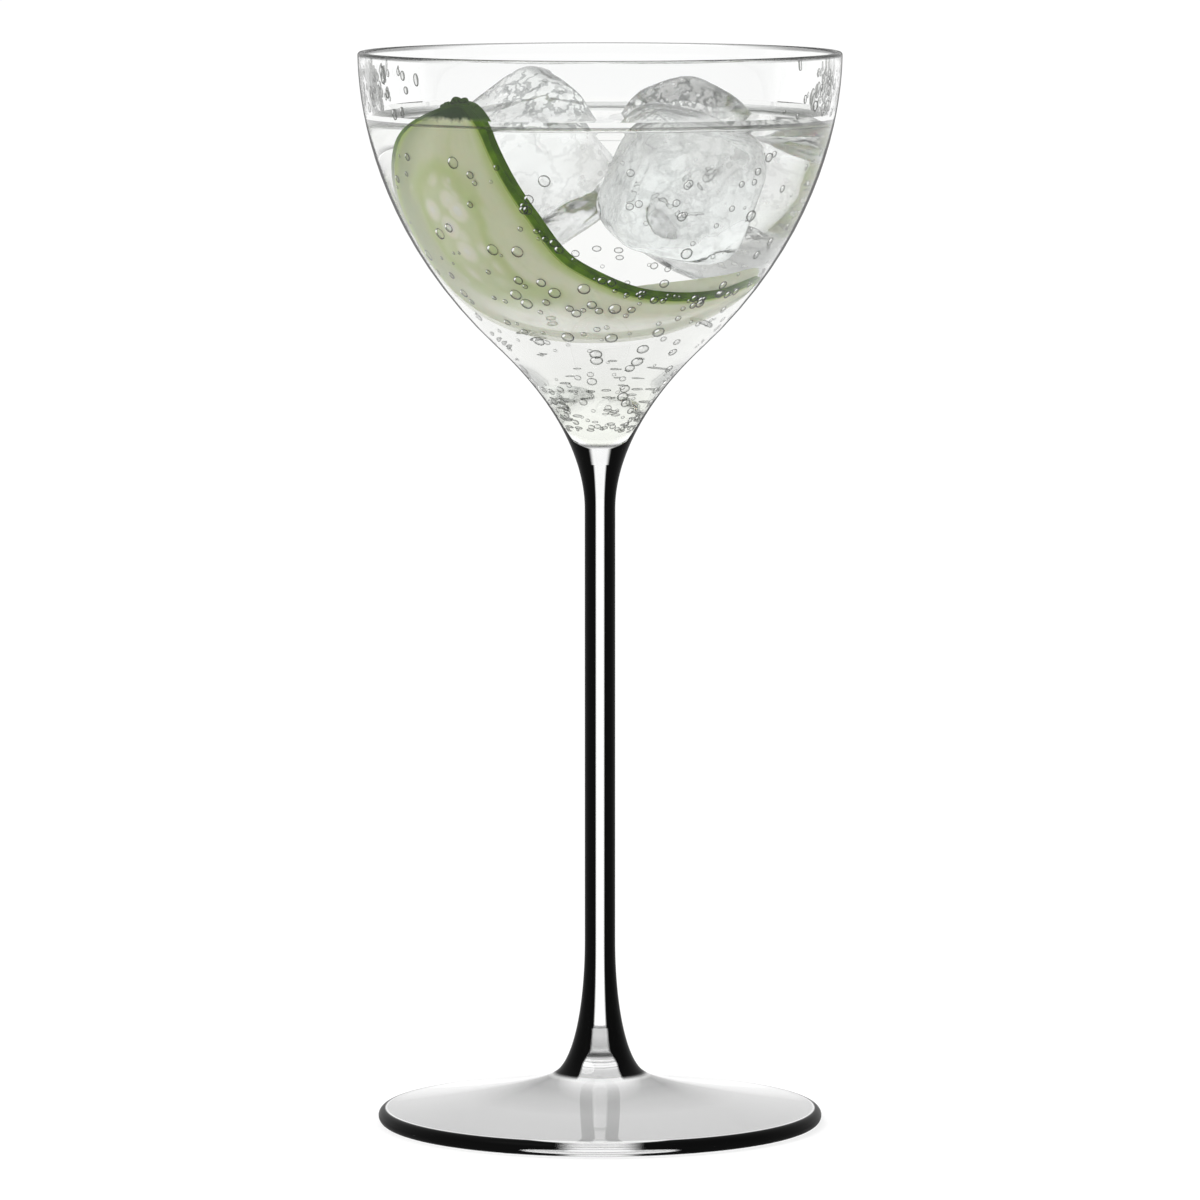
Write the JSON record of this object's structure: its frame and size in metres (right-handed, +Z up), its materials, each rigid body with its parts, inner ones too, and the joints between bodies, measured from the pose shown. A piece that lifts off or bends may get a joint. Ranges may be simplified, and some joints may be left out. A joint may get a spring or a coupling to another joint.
{
  "type": "nick and nora glass",
  "caption": "Stemmed cocktail glass with a deep closed-in bowl, slim stem and round foot, served with a clear drink, ice and a cucumber ribbon that lift out.",
  "frame": {"origin": "centre of the foot's underside, on the surface that the glass stands on", "axes": "+Z up along the stem, -Y towards the viewer of the picture, +X to the viewer's right"},
  "size_m": [0.074, 0.074, 0.165],
  "materials": {
    "clear_glass": "clear, fire-polished",
    "drink": "clear liquid",
    "ice": "wet, partly cloudy",
    "cucumber_flesh": "moist",
    "cucumber_peel": "moist"
  },
  "bodies": {
    "glass": {"bowl": "clear_glass", "stem": "clear_glass", "foot": "clear_glass", "drink": "drink"},
    "cucumber": {"cucumber_flesh": "cucumber_flesh", "cucumber_peel": "cucumber_peel"},
    "front_cube": {"ice_front": "ice"},
    "back_cube": {"ice_back": "ice"},
    "left_cube": {"ice_left": "ice"}
  },
  "joints": [
    {"name": "cucumber_lift", "type": "slide", "parent": "glass", "child": "cucumber", "axis": [0, 0, 1], "range_m": [0, 0.055], "deforming": ["drink"]},
    {"name": "front_cube_lift", "type": "slide", "parent": "cucumber", "child": "front_cube", "axis": [0, 0, 1], "range_m": [0, 0.04], "deforming": ["drink"]},
    {"name": "back_cube_lift", "type": "slide", "parent": "cucumber", "child": "back_cube", "axis": [0, 0, 1], "range_m": [0, 0.04], "deforming": ["drink"]},
    {"name": "left_cube_lift", "type": "slide", "parent": "cucumber", "child": "left_cube", "axis": [0, 0, 1], "range_m": [0, 0.04], "deforming": ["drink"]}
  ]
}
